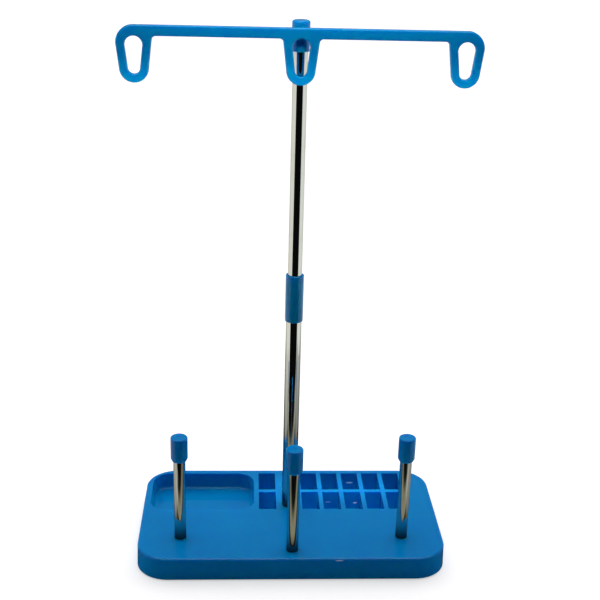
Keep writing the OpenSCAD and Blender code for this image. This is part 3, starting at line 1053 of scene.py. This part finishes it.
@dataclass(frozen=True)
class Dome:
    """Soft dome: what mirrors show of it differs from the light that it gives, and the camera sees white.

    A span holds the two heights or directions, as parts of a unit vector, between which a change runs.

    Attributes:
        left_colour: Colour in mirrors below the horizon on the left.
        right_colour: The same on the right.
        turn_span: Where left turns into right.
        level_colour: Colour in mirrors from the horizon up.
        level_span: Where that colour comes in.
        dark_span: Where the side behind the camera turns dark in mirrors.
        high_colour: Colour in mirrors overhead.
        high_span: Where that colour comes in.
        rise_span: Where the light that it gives grows with height.
        rise: That light's strength below and above.
        back_span: Where that light grows towards the back.
        back_gain: How many times it grows there.
        ahead_span: Where that light is held back on the camera's side.
        open_span: Height over which it is let in again overhead.
        cool_span: Where its green comes up to full.
        cool_green: Share of green below that.
    """

    left_colour: Colour = (1.00, 1.00, 0.90)
    right_colour: Colour = (1.00, 1.04, 0.96)
    turn_span: Span = (-0.4, 0.4)
    level_colour: Colour = (0.17, 0.17, 0.17)
    level_span: Span = (-0.12, 0.02)
    dark_span: Span = (0.60, 0.64)
    high_colour: Colour = (2.20, 2.20, 2.20)
    high_span: Span = (0.75, 0.95)
    rise_span: Span = (-0.1, 0.8)
    rise: Span = (0.44, 1.10)
    back_span: Span = (0.0, 0.8)
    back_gain: float = 1.4
    ahead_span: Span = (-0.10, 0.25)
    open_span: Span = (0.80, 0.98)
    cool_span: Span = (0.1, 0.8)
    cool_green: float = 0.80

    def build(self) -> None:
        """Makes the dome the scene's world."""
        world = bpy.data.worlds.new("studio_dome")
        world.use_nodes = True
        world.node_tree.nodes.clear()
        world.cycles.sampling_method = "NONE"
        bpy.context.scene.world = world
        graph = Graph(world.node_tree)
        way = graph.parts(graph.add("ShaderNodeTexCoord").outputs["Generated"])
        path = graph.add("ShaderNodeLightPath").outputs
        shiny = graph.math("MAXIMUM", path["Is Glossy Ray"], path["Is Transmission Ray"])
        seen = graph.mix(shiny, self.given(graph, way), self.mirrored(graph, way))
        seen = graph.mix(path["Is Camera Ray"], seen, WHITE)
        back = graph.add("ShaderNodeBackground", {"Color": seen, "Strength": 1.0})
        graph.show("ShaderNodeOutputWorld", back)

    def mirrored(self, graph: Graph, way: bpy.types.NodeOutputs) -> Socket:
        """Works out what mirrors show.

        How far a direction turns to the camera's side is its part along -Y over its level part, which is
        the root of one less the square of its height.

        Args:
            graph: The world's graph.
            way: Parts of the direction.

        Returns:
            The colour.
        """
        least = 0.001
        square = graph.math("MULTIPLY", way["Z"], way["Z"])
        level = graph.math("MAXIMUM", graph.math("SQRT", graph.math("SUBTRACT", 1.0, square)), least)
        toward = graph.math("DIVIDE", graph.math("MULTIPLY", way["Y"], -1.0), level)
        sides = graph.mix(graph.ramp(way["X"], *self.turn_span), self.left_colour, self.right_colour)
        sides = graph.mix(graph.ramp(way["Z"], *self.level_span), sides, self.level_colour)
        sides = graph.mix(graph.ramp(toward, *self.dark_span), sides, NEAR_BLACK)
        return graph.mix(graph.ramp(way["Z"], *self.high_span), sides, self.high_colour)

    def given(self, graph: Graph, way: bpy.types.NodeOutputs) -> Socket:
        """Works out the light that the dome gives.

        Its strength grows with height and towards the back, and on the camera's side it is held back
        except overhead. Low down it has less green.

        Args:
            graph: The world's graph.
            way: Parts of the direction.

        Returns:
            The colour.
        """
        soft = graph.ramp(way["Z"], *self.rise_span, *self.rise)
        soft = graph.math("MULTIPLY", soft, graph.ramp(way["Y"], *self.back_span, 1.0, self.back_gain))
        ahead = graph.ramp(graph.math("MULTIPLY", way["Y"], -1.0), *self.ahead_span)
        held = graph.math("MULTIPLY", ahead, graph.ramp(way["Z"], *self.open_span, 1.0, 0.0))
        soft = graph.math("MULTIPLY", soft, graph.math("SUBTRACT", 1.0, held))
        green = graph.math("MULTIPLY", soft, graph.ramp(way["Z"], *self.cool_span, self.cool_green, 1.0))
        return graph.add("ShaderNodeCombineXYZ", {0: soft, 1: green, 2: soft}).outputs[0]


@dataclass(frozen=True)
class Ground:
    """Pale floor, and a lit table on it that only reflections show.

    Attributes:
        floor_reach: Half the floor's width.
        floor_colour: Colour of the floor.
        floor_fill: Light added to the floor where the camera sees it, so that it shows white.
        wedge_blur: Width over which the floor's dark wedge under the camera fades in.
        front: Y of the tip of that wedge, and of the middle of the table's near edge.
        slant: Change of that edge's Y for each metre to the right.
        reach: Half the table's width, and how far back it goes.
        colour: Colour of the table's middle.
        left_colour: Colour of its left side.
        right_colour: Colour of its right side.
        turn_span: Where left turns into right.
        side_span: Distances from the middle between which the sides come in.
        side_rise: Distances between which the sides grow to full strength.
        side_low: Strength of the sides before that.
        lit_span: Distances from the near edge between which the middle grows to full strength.
        lit_low: Strength of the middle before that.
        shade_span: Where the object's shadow on the middle comes in.
        shade_low: Share of the strength that is left in that shadow.
    """

    floor_reach: float = 6.0
    floor_colour: Colour = (0.80, 0.80, 0.80)
    floor_fill: float = 0.50
    wedge_blur: float = 0.02
    front: float = -0.168
    slant: float = -0.10
    reach: float = 0.34
    colour: Colour = (0.32, 0.31, 0.21)
    left_colour: Colour = (0.78, 0.78, 0.68)
    right_colour: Colour = (0.54, 0.56, 0.50)
    turn_span: Span = (-0.02, 0.02)
    side_span: Span = (0.115, 0.165)
    side_rise: Span = (0.12, 0.34)
    side_low: float = 0.5
    lit_span: Span = (0.014, 0.052)
    lit_low: float = 0.03
    shade_span: Span = (-0.0955, -0.0915)
    shade_low: float = 0.06

    def build(self) -> None:
        """Lays the floor and the table."""
        self.lay_floor()
        self.lay_table()

    def sheet(self, name: str, corners: np.ndarray) -> bpy.types.Object:
        """Makes a flat stage sheet.

        Args:
            name: Its name.
            corners: Its corners, counter-clockwise seen from above.

        Returns:
            The sheet.
        """
        mesh = bpy.data.meshes.new(name)
        mesh.from_pydata(corners.tolist(), [], [list(range(len(corners)))])
        sheet = bpy.data.objects.new(name, mesh)
        bpy.context.scene.collection.objects.link(sheet)
        return sheet

    def lay_floor(self) -> None:
        """Lays a floor that keeps the object's shadow and is clear from below.

        In a wedge under the camera it is dark to what the object's diffuse surfaces gather from it. A
        place is as far inside the wedge as it lies ahead of the tip, less its distance to the side.
        """
        square = np.array([(-1.0, -1.0, 0.0), (1.0, -1.0, 0.0), (1.0, 1.0, 0.0), (-1.0, 1.0, 0.0)])
        floor = self.sheet("floor", square * self.floor_reach)
        floor.visible_glossy = False
        material, graph = blank_material("pale_floor")
        path = graph.add("ShaderNodeLightPath").outputs
        place = graph.parts(graph.add("ShaderNodeTexCoord").outputs["Object"])
        ahead = graph.math("SUBTRACT", self.front, place["Y"])
        inside = graph.math("SUBTRACT", ahead, graph.math("ABSOLUTE", place["X"]))
        dark = graph.math("MULTIPLY", path["Is Diffuse Ray"], graph.ramp(inside, 0.0, self.wedge_blur))
        tone = graph.mix(dark, self.floor_colour, NEAR_BLACK)
        diffuse = graph.add("ShaderNodeBsdfDiffuse", {"Color": tone})
        strength = graph.math("MULTIPLY", path["Is Camera Ray"], self.floor_fill)
        fill = graph.add("ShaderNodeEmission", {"Color": WHITE, "Strength": strength})
        both = graph.add("ShaderNodeAddShader", {0: diffuse.outputs[0], 1: fill.outputs[0]})
        clear = graph.add("ShaderNodeBsdfTransparent")
        below = graph.add("ShaderNodeNewGeometry").outputs["Backfacing"]
        either = graph.add("ShaderNodeMixShader", {0: below, 1: both.outputs[0], 2: clear.outputs[0]})
        graph.show("ShaderNodeOutputMaterial", either)
        floor.data.materials.append(material)

    def lay_table(self) -> None:
        """Lays the lit table, which only reflections show."""
        x, front, back = self.reach, self.front, self.reach
        lead = self.slant * x
        lift = np.array([0.0, 0.0, 0.1 * MM])
        corners = np.array([(-x, front - lead, 0.0), (x, front + lead, 0.0),
                            (x, back, 0.0), (-x, back, 0.0)])
        table = self.sheet("table_card", corners + lift)
        for ray in ("camera", "diffuse", "shadow", "transmission"):
            setattr(table, f"visible_{ray}", False)
        material, graph = blank_material("warm_table")
        place = graph.parts(graph.add("ShaderNodeTexCoord").outputs["Object"])
        edge = graph.math("MULTIPLY_ADD", place["X"], self.slant, front)
        away = graph.math("ABSOLUTE", place["X"])
        aside = graph.ramp(away, *self.side_span)
        sides = graph.math("MULTIPLY", aside, graph.ramp(away, *self.side_rise, self.side_low, 1.0))
        lit = graph.ramp(graph.math("SUBTRACT", place["Y"], edge), *self.lit_span, self.lit_low, 1.0)
        shade = graph.ramp(place["Y"], *self.shade_span, 1.0, self.shade_low)
        beside = graph.mix(graph.ramp(place["X"], *self.turn_span), self.left_colour, self.right_colour)
        glow = graph.add("ShaderNodeEmission", {
            "Color": graph.mix(aside, self.colour, beside),
            "Strength": graph.math("MAXIMUM", sides, graph.math("MULTIPLY", lit, shade)),
        })
        graph.show("ShaderNodeOutputMaterial", glow)
        table.data.materials.append(material)


@dataclass
class Studio:
    """Camera, ground, dome and lamps.

    Attributes:
        eye: Where the camera stands.
        yaw: How far the camera looks to the right of straight ahead, in radians.
        pitch: How far it looks down, in radians.
        roll: How far it leans, in radians.
        lens: Its focal length in millimetres.
        sensor: Width of its sensor in millimetres.
        near: Nearest distance that it shows.
        strips: Lamps over the bar, in front of the eyelets and over the pockets.
    """

    eye: Place = (-0.03658, -0.73665, 0.47690)
    yaw: float = 0.0545
    pitch: float = 0.3645
    roll: float = 0.0274
    lens: float = 65.25
    sensor: float = 36.0
    near: float = 0.01
    strips: tuple[Strip, ...] = (
        Strip("bar_strip", (0.0, -0.12, 0.50), 0.765, (0.28, 0.03), 1.6, 0.13, (1.00, 1.00, 0.76)),
        Strip("eyelet_strip", (0.0, -0.20, 0.345), 1.596, (0.26, 0.01), 0.20, 0.012, (1.00, 1.00, 0.72)),
        Strip("pocket_strip", (0.035, -0.024, 0.165), 0.38, (0.11, 0.03), 0.20, 0.007, (0.70, 0.84, 0.94)),
    )

    def build(self) -> None:
        """Sets up the whole studio."""
        self.place_camera()
        Ground().build()
        Dome().build()
        for strip in self.strips:
            strip.hang()

    def place_camera(self) -> None:
        """Puts the camera where the photograph was taken from.

        The way ahead follows from yaw and pitch, and the level and upright ways beside it, turned about
        it by roll, are the camera's right and up.
        """
        forward = np.array([np.sin(self.yaw) * np.cos(self.pitch), np.cos(self.yaw) * np.cos(self.pitch),
                            -np.sin(self.pitch)])
        level = np.array([np.cos(self.yaw), -np.sin(self.yaw), 0.0])
        upright = np.cross(level, forward)
        right = np.cos(self.roll) * level + np.sin(self.roll) * upright
        up = np.cos(self.roll) * upright - np.sin(self.roll) * level
        place = np.eye(4)
        place[:3] = np.column_stack([right, up, -forward, self.eye])
        data = bpy.data.cameras.new("studio_camera")
        data.lens = self.lens
        data.sensor_width = self.sensor
        data.clip_start = self.near
        camera = bpy.data.objects.new("studio_camera", data)
        bpy.context.scene.collection.objects.link(camera)
        camera.matrix_world = Matrix(place.tolist())
        bpy.context.scene.camera = camera
        log.info("camera: %.1f mm lens", self.lens)


def main() -> None:
    """Builds the thread rack's looks and its studio, piece by piece."""
    logging.basicConfig(level=logging.INFO, format="%(message)s", stream=sys.stdout)
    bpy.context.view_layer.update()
    bpy.context.scene.view_settings.view_transform = "Standard"
    Studio().build()
    MouldedBase().build()
    for side in Side:
        SpoolPin(side).build()
    Mast().build()
    GuideBar().build()


if __name__ == "__main__":
    main()
